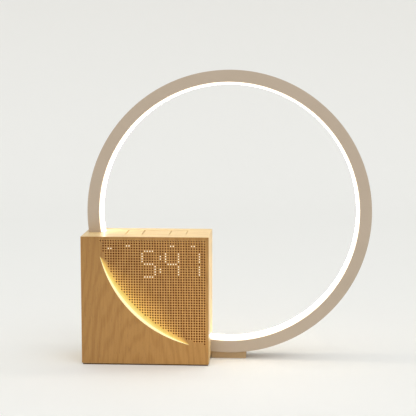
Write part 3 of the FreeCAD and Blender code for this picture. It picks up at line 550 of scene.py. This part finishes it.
down = add(tree, "ShaderNodeMath", {0: step_z.outputs[0], 1: -1.0}, operation="MULTIPLY")
step = add(tree, "ShaderNodeCombineXYZ", {"X": step_x.outputs[0], "Z": down.outputs[0]})
spot = add(
    tree, "ShaderNodeVectorMath", {0: step.outputs[0], 1: given["First Hole"]}, operation="ADD")
placed = add(
    tree, "GeometryNodeSetPosition", {"Geometry": line.outputs[0], "Position": spot.outputs[0]})
spot = add(tree, "GeometryNodeInputPosition").outputs[0]
flat = add(tree, "ShaderNodeVectorMath", {0: spot, 1: (1, 0, 1)}, operation="MULTIPLY")
reach = add(
    tree, "ShaderNodeVectorMath", {0: flat.outputs[0], 1: given["Centre"]},
    operation="DISTANCE")
outside = add(
    tree, "FunctionNodeCompare", {"A": reach.outputs["Value"], "B": given["Limit"]},
    operation="GREATER_THAN")
kept = add(
    tree, "GeometryNodeDeleteGeometry",
    {"Geometry": placed.outputs[0], "Selection": outside.outputs[0]})
radius = add(tree, "ShaderNodeMath", {0: given["Diameter"], 1: 0.5}, operation="MULTIPLY")
rod = add(
    tree, "GeometryNodeMeshCylinder",
    {"Vertices": given["Sides"], "Radius": radius.outputs[0], "Depth": given["Depth"]})
turned = add(
    tree, "GeometryNodeTransform",
    {"Geometry": rod.outputs["Mesh"], "Rotation": (math.pi / 2, 0, 0)})
rods = add(
    tree, "GeometryNodeInstanceOnPoints",
    {"Points": kept.outputs[0], "Instance": turned.outputs[0]})
real = add(tree, "GeometryNodeRealizeInstances", {"Geometry": rods.outputs[0]})
painted = add(
    tree, "GeometryNodeSetMaterial", {"Geometry": real.outputs[0], "Material": given["Finish"]})
add(tree, "NodeGroupOutput", {"Geometry": painted.outputs[0]})


def laid_out(name, group, ids, points=(), **values):
    """Run a tree of nodes on points, with its inputs by name, and keep a plain mesh."""
    piece = mesh_piece(name, points, [])
    layout = piece.modifiers.new(name, "NODES")
    layout.node_group = group
    for label, value in values.items():
        layout[ids[label.replace("_", " ")]] = value
    settle(piece)
    return piece


drill_path = laid_out(
    "drill_path", holes_tree, sockets, Pitch=pitch * MM, Columns=columns, Rows=rows,
    First_Hole=(first_x * MM, (front + drill_middle) * MM, first_z * MM),
    Centre=(grille_x * MM, 0.0, grille_z * MM), Limit=grille_r * MM,
    Diameter=hole_d * MM, Depth=drill_l * MM, Sides=hole_sides, Finish=drilled_beech,
)
corners = []
for inset, y in ((0, front), (panel_t, front + panel_t)):
    x0, x1, z0, z1 = left + inset, right - inset, bottom + inset, top - inset
    corners += [(x * MM, y * MM, z * MM) for x, z in ((x0, z0), (x1, z0), (x1, z1), (x0, z1))]
faces = [(0, 1, 2, 3), (7, 6, 5, 4)]
faces += [(i, i + 4, (i + 1) % 4 + 4, (i + 1) % 4) for i in range(4)]
front_board = mesh_piece("front_board", corners, faces, front_beech)
ease_arrises(front_board, front_arris, sharper_than=100)
lamp_r = arc_r - lamp_w / 2
boss = crescent_block("boss", arc_r + boss_rim, front + boss_sink, floor_t, front_beech)
recess = crescent_block("recess", arc_r, front - overrun, 0.0, front_beech)
lamp_mouth = arc_block(
    "lamp_mouth", taper, arc_r, lamp_half, mouth_near, lens_t + overlap, drilled_beech)
lamp_slot = arc_block(
    "lamp_slot", arc_r - lamp_w, arc_r, lamp_half, lens_t, slot_far, drilled_beech)
tape_seat = arc_block(
    "tape_seat", lamp_r - tape_reach, lamp_r + tape_reach, tape_half, floor_t, seat_far,
    drilled_beech)
combine(
    front_board, ("UNION", boss), ("DIFFERENCE", recess), ("DIFFERENCE", lamp_mouth),
    ("DIFFERENCE", lamp_slot), ("DIFFERENCE", tape_seat), ("DIFFERENCE", drill_path),
)
shade_by_angle(front_board, 35)
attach(front_board, "case")
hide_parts("front_panel")

# Display
# A black moulded mask and a circuit board of warm white LEDs behind the front. A clear pin
# stands in each lit hole, just below the wood, and carries the light to the face.


def dress(finish, *nodes):
    """Give CAD nodes whose shape stays their finish."""
    for node in nodes:
        shown[node].data.materials.clear()
        shown[node].data.materials.append(finish)


# ABS from a spark-eroded mould: matt and nearly black, so that nothing glints behind the holes
moulded_black = mottled(
    "black ABS, spark-eroded mould", "191817", "252423", 0.303, relief=(0.3, 0.05),
    Roughness=0.55, Specular_IOR_Level=0.4)[0]
dress(moulded_black, "display_mask")

# Solder mask: a clear dark green film, paler where it covers copper tracks
solder_mask, tree, shader = new_finish(
    "green solder mask over copper", Roughness=0.35, Coat_Weight=0.3)
place = add(tree, "ShaderNodeTexCoord").outputs["Object"]
tracks = add(tree, "ShaderNodeTexBrick", {
    "Vector": place, "Scale": 1 / (6.25 * MM), "Mortar Size": 0.04,
    "Color1": tone("1F5A3A"), "Color2": tone("1B5134"), "Mortar": tone("2E7A4E")})
tree.links.new(tracks.outputs["Color"], shader.inputs["Base Color"])
dress(solder_mask, "display_board", "main_board", "key_board")

# Phosphor in clear silicone: an opaque egg yellow that glows a little
phosphor, _, shader, _ = mottled(
    "LED phosphor gel", "EBC04A", "F6D266", 0.25, Roughness=0.3, Emission_Strength=1.5)
shader.inputs["Emission Color"].default_value = tone("FFD88A")
dress(phosphor, "display_leds")

# Polished acrylic, lit from behind: a small even dot of warm white
light_pin, _, shader = new_finish(
    "lit clear acrylic pin", Roughness=0.25, Emission_Strength=0.64)
shader.inputs["Base Color"].default_value = tone("FBF0D6")
shader.inputs["Emission Color"].default_value = tone("F8FDE4")

# Four indicator lamps, the colon, and the strokes of three digits: first column and row, and
# whether the stroke runs across
lamps = ((4, 3), (11, 2), (28, 2), (36, 2))
colon = [(24, row) for row in (6, 7, 11, 12)]
lit_holes = [(column + i, row) for column, row in lamps for i in (0, 1)] + colon
stroke_holes = 4
strokes = {
    "top": (1, 4, True), "upper left": (0, 5, False), "upper right": (5, 5, False),
    "middle": (1, 9, True), "lower right": (5, 10, False), "bottom": (1, 14, True),
}
right_side = ("upper right", "lower right")
for digit_column, lit in (
    (17, ("top", "upper left", "middle", "lower right", "bottom")),
    (26, ("upper left", "middle", *right_side)),
    (34, right_side),
):
    for column, row, level in (strokes[name] for name in lit):
        for i in range(stroke_holes):
            lit_holes.append((digit_column + column + i * level, row + i * (not level)))
pin_sides, pin_r = 12, 0.42
pin_tip, pin_l = front + 0.04, 5.16
pin_rings = ((0.0, pin_r * 0.7), (0.06, pin_r * 0.92), (0.15, pin_r), (pin_l, pin_r))

# One pin, with its tip at the origin
points = []
for y, r in pin_rings:
    for i in range(pin_sides):
        a = 2 * math.pi * i / pin_sides
        points.append((r * math.cos(a) * MM, y * MM, r * math.sin(a) * MM))
last = (len(pin_rings) - 1) * pin_sides
faces = [tuple(range(pin_sides)), tuple(reversed(range(last, last + pin_sides)))]
for a in range(0, last, pin_sides):
    b = a + pin_sides
    for i in range(pin_sides):
        k = (i + 1) % pin_sides
        faces.append((a + i, a + k, b + k, b + i))
one_pin = mesh_piece("one_pin", points, faces)

# A pin in every lit hole
pins_tree = tree = bpy.data.node_groups.new("pins in the lit holes", "GeometryNodeTree")
pin_sockets = {}
for label, kind in (("Lit Holes", "Geometry"), ("Pin", "Object"), ("Finish", "Material")):
    socket = tree.interface.new_socket(label, in_out="INPUT", socket_type="NodeSocket" + kind)
    pin_sockets[label] = socket.identifier
tree.interface.new_socket("Pins", in_out="OUTPUT", socket_type="NodeSocketGeometry")
given = add(tree, "NodeGroupInput").outputs
pin = add(tree, "GeometryNodeObjectInfo", {"Object": given["Pin"]}).outputs["Geometry"]
pins = add(
    tree, "GeometryNodeInstanceOnPoints", {"Points": given["Lit Holes"], "Instance": pin})
real = add(tree, "GeometryNodeRealizeInstances", {"Geometry": pins.outputs[0]})
painted = add(
    tree, "GeometryNodeSetMaterial", {"Geometry": real.outputs[0], "Material": given["Finish"]})
add(tree, "NodeGroupOutput", {"Pins": painted.outputs[0]})

spots = [(first_x + column * pitch, pin_tip, first_z - row * pitch) for column, row in lit_holes]
spots = [tuple(v * MM for v in spot) for spot in spots]
light_pins = laid_out("light_pins", pins_tree, pin_sockets, spots, Pin=one_pin, Finish=light_pin)
bpy.data.objects.remove(one_pin)
shade_by_angle(light_pins, 50)
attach(light_pins, "case")

# Crescent light
# An opal silicone strip let into the slope along the arc, over a phosphor bead on a white tape.
# It is 1.7 mm wide in the middle and tapers to both tips, and throws light across the slope; most
# light on the slope is a glow painted into the front's wood.
lens_play, lens_half, lens_proud = 0.05, 28.4, 0.15

# Silicone, lit through: a soft cloudy pale yellow, deeper on its inner side
warm_silicone, tree, shader, _ = mottled(
    "lit amber silicone", "F4DDA0", "F9E6B4", 1.43, Roughness=0.4)
colour, power = arc_light(tree, (
    (0.0, (0.60, 0.60, 0.42)), (0.6, (0.60, 0.56, 0.34)), (1.8, (0.56, 0.46, 0.17)),
))
tree.links.new(colour, shader.inputs["Emission Color"])
tree.links.new(power, shader.inputs["Emission Strength"])
arc_strip = arc_block(
    "arc_strip", lambda turn: taper(turn, lens_play), arc_r - lens_play, lens_half,
    -lens_proud, lens_t, warm_silicone)
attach(arc_strip, "case")
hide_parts("arc_diffuser")

# Polyimide tape under white resist: a plain warm white, slightly uneven
white_tape = mottled("white polyimide LED tape", "E6E4DD", "F3F1EA", 0.833, Roughness=0.45)[0]
dress(phosphor, "arc_led_bead", "ring_led_bead")
dress(white_tape, "arc_led_tape", "ring_led_tape")

# Ring
# An aluminium C section rolled to a ring with its open side towards the centre, bead-blasted
# and anodised in a champagne tone. The case hides both ends, in die-cast caps.
ring_x, ring_z = 0.9, 117.6
ring_out, ring_in = 112.56, 103.2
ring_front, ring_back = 0.0, 20.0
ring_wall, ring_edge = 1.5, 0.25
ring_start, ring_end = -107.0, 199.0
rim_segments = 320


def ring_bar(name, section, steps, *finishes):
    """A closed section of (radius, y) turned round the ring's centre."""
    count = len(section)
    points = []
    for i in range(steps + 1):
        a = math.radians(ring_start + (ring_end - ring_start) * i / steps)
        for r, y in section:
            x, z = ring_x + r * math.cos(a), ring_z + r * math.sin(a)
            points.append((x * MM, y * MM, z * MM))
    faces = [tuple(range(count)), tuple(reversed(range(steps * count, (steps + 1) * count)))]
    for a in range(0, steps * count, count):
        for j in range(count):
            k = (j + 1) % count
            faces.append((a + j, a + k, a + count + k, a + count + j))
    piece = mesh_piece(name, points, faces, *finishes)
    shade_by_angle(piece, 40)
    return piece


# Satin anodised aluminium: an even metal with a blurred shine and a blasted grain, drawn at
# 0.6 mm so that it shows
champagne, tree, shader, _ = mottled(
    "satin anodised aluminium", "C1B19E", "C8B8A7", 40, Metallic=1.0)
place = add(tree, "ShaderNodeTexCoord").outputs["Object"]
blasted = add(
    tree, "ShaderNodeTexNoise", {"Vector": place, "Scale": 1 / (0.588 * MM), "Detail": 3.0})
rough = add(
    tree, "ShaderNodeMapRange",
    {"Value": blasted.outputs["Fac"], "To Min": 0.46, "To Max": 0.56})
bump = add(
    tree, "ShaderNodeBump",
    {"Height": blasted.outputs["Fac"], "Strength": 0.06, "Distance": 0.1 * MM})
tree.links.new(rough.outputs["Result"], shader.inputs["Roughness"])
tree.links.new(bump.outputs["Normal"], shader.inputs["Normal"])
corners = [
    (ring_in, ring_front), (ring_out, ring_front), (ring_out, ring_back), (ring_in, ring_back),
    (ring_in, ring_back - ring_wall), (ring_out - ring_wall, ring_back - ring_wall),
    (ring_out - ring_wall, ring_front + ring_wall), (ring_in, ring_front + ring_wall),
]
channel_section = []
for i, (r, y) in enumerate(corners):
    for to_r, to_y in (corners[i - 1], corners[(i + 1) % len(corners)]):
        share = ring_edge / math.hypot(to_r - r, to_y - y)
        channel_section.append((r + (to_r - r) * share, y + (to_y - y) * share))
ring_rim = ring_bar("ring_rim", channel_section, rim_segments, champagne)
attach(ring_rim, "case")
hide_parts("ring_channel")

# Zinc as cast: a dull grey metal with faint flow marks
cast_zinc = mottled(
    "die-cast zinc", "9A9A99", "B4B4B2", 2.0, detail=3.0, Metallic=1.0, Roughness=0.5)[0]
dress(cast_zinc, "ring_end_caps")

# Ring light
# An opal silicone strip pressed into the channel, domed towards the ring's centre and lit from
# behind along its whole length, so it shows as one even white band.
dome_rise, dome_leg, dome_play, dome_steps = 1.9, 3.5, 0.1, 16
dome_near = ring_front + ring_wall + dome_play
dome_far = ring_back - ring_wall - dome_play
dome_middle, dome_half = (dome_near + dome_far) / 2, (dome_far - dome_near) / 2
dome_segments = 240
edge_power, middle_power, falloff = 0.9, 12.0, 1.6

# Opal silicone, lit through: a soft warm white, brightest over the LEDs in the middle
opal, tree, shader, _ = mottled(
    "lit opal silicone", "F1E8D6", "F7F0E0", 0.667, Roughness=0.4)
shader.inputs["Emission Color"].default_value = tone("FFF7E8")
place = add(tree, "ShaderNodeTexCoord").outputs["Object"]
depth = add(tree, "ShaderNodeSeparateXYZ", {0: place}).outputs["Y"]
off_middle = add(tree, "ShaderNodeMath", {0: depth, 1: dome_middle * MM}, operation="SUBTRACT")
off_middle = add(tree, "ShaderNodeMath", {0: off_middle.outputs[0]}, operation="ABSOLUTE")
inward = add(
    tree, "ShaderNodeMapRange",
    {"Value": off_middle.outputs[0], "From Min": dome_half * MM, "From Max": 0.0})
inward = add(tree, "ShaderNodeMath", {0: inward.outputs[0], 1: falloff}, operation="POWER")
power = add(
    tree, "ShaderNodeMapRange",
    {"Value": inward.outputs[0], "To Min": edge_power, "To Max": middle_power})
tree.links.new(power.outputs["Result"], shader.inputs["Emission Strength"])

# Two legs in the channel and a dome, flat in the middle and round at both edges
dome_section = [(ring_in + dome_leg, dome_near), (ring_in + dome_leg, dome_far)]
for i in range(dome_steps + 1):
    across = math.cos(math.pi * i / dome_steps)
    r = ring_in - dome_rise * (1 - across ** 4) ** 0.75
    dome_section.append((r, dome_middle + dome_half * across))
ring_dome = ring_bar("ring_dome", dome_section, dome_segments, opal)
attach(ring_dome, "case")
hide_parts("ring_diffuser")

# Keys
# Three beech caps cut from the same board as the top, so that the grain runs on. Each has a
# lip under the top, and its stem presses a tact switch on a small board hung on two bars.
# The caps take the level boards' finish, painted paler as painted light from the ring
dress(beech_level_painted_light, "key_left", "key_centre", "key_right")
dress(moulded_black, "key_switches", "ring_socket_top", "ring_socket_low")

# Moulded nylon: a soft off-white, slightly cloudy
white_nylon = mottled("white nylon, moulded", "D8D5CB", "E6E3DA", 1.11, Roughness=0.5)[0]
dress(white_nylon, "key_hangers", "ribbon_sockets", "cover_blocks")

# Zinc plating: a bluish grey metal with a mild shine
zinc_steel = mottled(
    "zinc-plated steel", "B9BBBC", "CFD1D2", 1.25, Metallic=1.0, Roughness=0.35)[0]
dress(zinc_steel, "key_screws", "board_screws", "ring_grub_screws")

# Pad and foot
# The case stands on a die-cut pad of dark brown EVA foam. The ring's lowest part rests in a
# low moulded saddle beside the case.
saddle_edge = 0.4

# Closed-cell foam: dark and dead matt, with fine cells
eva_foam, tree, shader = new_finish(
    "dark brown EVA foam", Roughness=0.9, Specular_IOR_Level=0.2)
place = add(tree, "ShaderNodeTexCoord").outputs["Object"]
cells = add(tree, "ShaderNodeTexVoronoi", {"Vector": place, "Scale": 1 / (0.4 * MM)})
colour = add(
    tree, "ShaderNodeMix",
    {"Factor": cells.outputs["Distance"], "A": tone("5A4128"), "B": tone("6F5234")},
    data_type="RGBA")
bump = add(
    tree, "ShaderNodeBump",
    {"Height": cells.outputs["Distance"], "Strength": 0.4, "Distance": 0.1 * MM})
tree.links.new(colour.outputs["Result"], shader.inputs["Base Color"])
tree.links.new(bump.outputs["Normal"], shader.inputs["Normal"])
dress(eva_foam, "base_pad", "speaker_gasket")

# Moulded rubber: a tan brown with a fine skin, nearly matt
foot_rubber = mottled(
    "brown thermoplastic rubber", "B0946E", "BA9E78", 0.556, relief=(0.2, 0.05),
    Roughness=0.6, Specular_IOR_Level=0.35)[0]
ring_saddle = merged_copy("ring_foot", "ring_saddle")
ring_saddle.data.materials.append(foot_rubber)
ease_arrises(ring_saddle, saddle_edge)
shade_by_angle(ring_saddle, 35)
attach(ring_saddle, "case")
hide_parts("ring_foot")

# Speaker
# A square micro speaker behind the perforation: a pressed and enamelled steel basket with a
# pulp diaphragm glued to its rim, and a ferrite magnet on its back.

# Enamel over drawn steel: a smooth soft black
black_enamel = mottled(
    "black enamelled steel", "1A1A1B", "272728", 2.86, detail=3.0, Roughness=0.5,
    Specular_IOR_Level=0.3)[0]
dress(black_enamel, "speaker_basket")

# Dyed paper pulp: a fibrous, quite matt black
black_pulp = mottled(
    "black paper pulp", "151413", "2A2826", 0.5, detail=4.0, Roughness=0.85,
    Specular_IOR_Level=0.2)[0]
dress(black_pulp, "speaker_cone")

# Sintered ferrite: a stony dark grey
ferrite = mottled("sintered ferrite", "343537", "45474A", 0.667, detail=3.0, Roughness=0.6)[0]
dress(ferrite, "speaker_magnet")

# Main board
# A circuit board on four posts, with its chips, coil and capacitors, a backup cell cast into a
# square holder with black epoxy, and a flat cable to the display.

# Moulding epoxy: a fine-grained charcoal with a low sheen
black_epoxy = mottled(
    "black moulding epoxy", "202124", "2E2F32", 0.385, Roughness=0.5,
    Specular_IOR_Level=0.4)[0]
dress(black_epoxy, "main_chips", "cell_holder", "backup_cell")

# Nickel plating: a warm bright metal, its shine rubbed uneven
nickel, tree, shader, drift = mottled(
    "nickel-plated steel", "C6C3BC", "D6D3CD", 3.33, detail=4.0, Metallic=1.0)
rough = add(tree, "ShaderNodeMapRange", {"Value": drift, "To Min": 0.22, "To Max": 0.36})
tree.links.new(rough.outputs["Result"], shader.inputs["Roughness"])
dress(nickel, "power_inlet")

# PVC flat cable: off-white, ribbed over its wires. The wave's scale gives ribs 1 mm apart
flat_cable, tree, shader = new_finish("white PVC flat cable", Roughness=0.5)
place = add(tree, "ShaderNodeTexCoord").outputs["Object"]
wires = add(
    tree, "ShaderNodeTexWave", {"Vector": place, "Scale": 0.314 / MM}, bands_direction="X")
colour = add(
    tree, "ShaderNodeMix",
    {"Factor": wires.outputs["Fac"], "A": tone("B9B8B4"), "B": tone("DEDDD9")},
    data_type="RGBA")
tree.links.new(colour.outputs["Result"], shader.inputs["Base Color"])
dress(flat_cable, "display_ribbon")

# Back cover
# A moulded ABS plate in a wood-brown tone, let into the back, with nine vents, the inlet and
# four blackened steel screws in counterbores.
cover_edge = 0.15

# ABS from a spark-eroded mould: an even mid brown with a fine matt grain
brown_abs = mottled(
    "brown ABS, spark-eroded mould", "8C6B48", "977552", 0.455, relief=(0.35, 0.06),
    Roughness=0.6, Specular_IOR_Level=0.35)[0]
back_plate = merged_copy("back_cover", "back_plate")
back_plate.data.materials.append(brown_abs)
ease_arrises(back_plate, cover_edge, segments=2)
shade_by_angle(back_plate, 35)
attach(back_plate, "case")
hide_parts("back_cover")

# Black oxide: a dark metal with a soft, slightly patchy shine
black_steel = mottled(
    "black oxide steel", "2B2B2C", "3C3C3E", 0.833, detail=3.0, Metallic=1.0, Roughness=0.4)[0]
dress(black_steel, "cover_screws", "display_screws", "speaker_screws")
